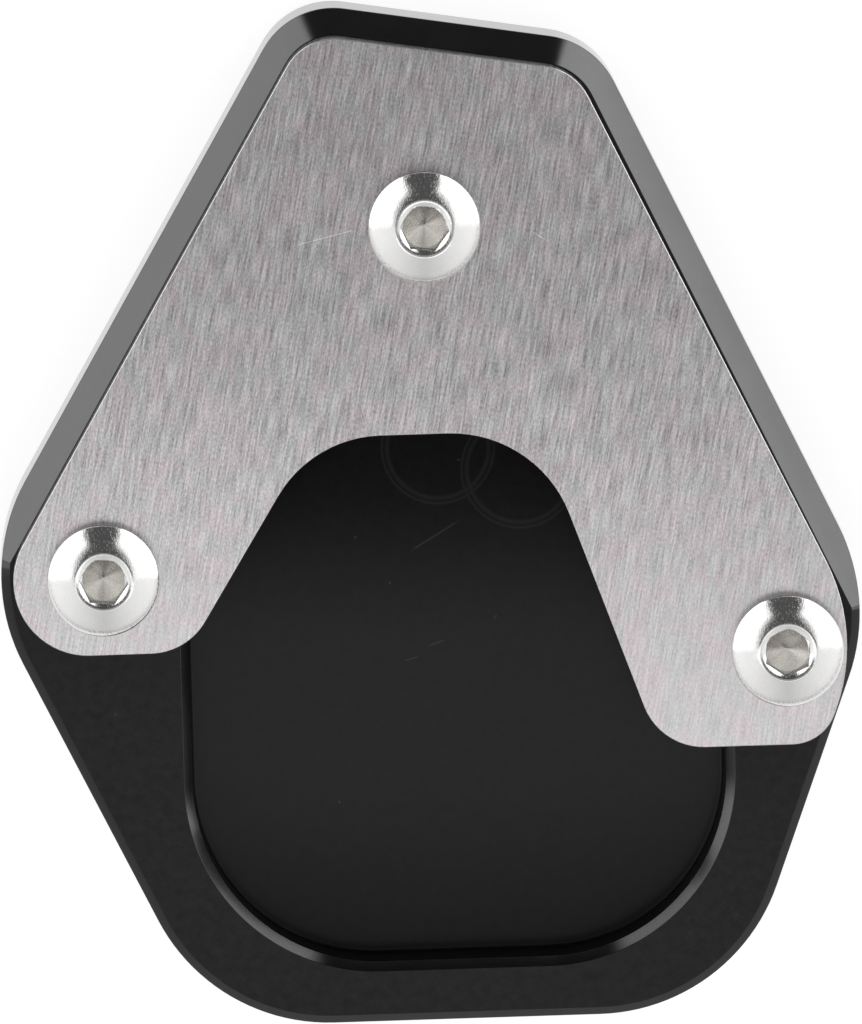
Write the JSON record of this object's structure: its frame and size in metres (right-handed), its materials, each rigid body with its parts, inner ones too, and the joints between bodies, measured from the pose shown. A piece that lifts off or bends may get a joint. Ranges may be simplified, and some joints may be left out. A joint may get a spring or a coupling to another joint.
{
  "type": "kickstand foot enlarger",
  "caption": "Pocketed black plate that widens a motorbike side stand's foot, with a brushed steel clamp plate screwed over the pocket to hold the foot in.",
  "frame": {"origin": "on the flat ground face, under the middle of the foot pocket", "axes": "+Z up, away from the ground, towards the screw heads; +Y towards the narrow end, where the stand's leg comes in; +X to the right, seen from above with +Y up"},
  "size_m": [0.0802, 0.0952, 0.0163],
  "materials": {
    "black_anodised": "black anodised, satin",
    "brushed_plate": "brushed stainless steel",
    "polished_screws": "polished stainless steel"
  },
  "bodies": {
    "root": {"base_plate": "black_anodised", "clamp_plate": "brushed_plate", "clamp_screw_top": "polished_screws", "clamp_screw_left": "polished_screws", "clamp_screw_right": "polished_screws"}
  },
  "joints": []
}
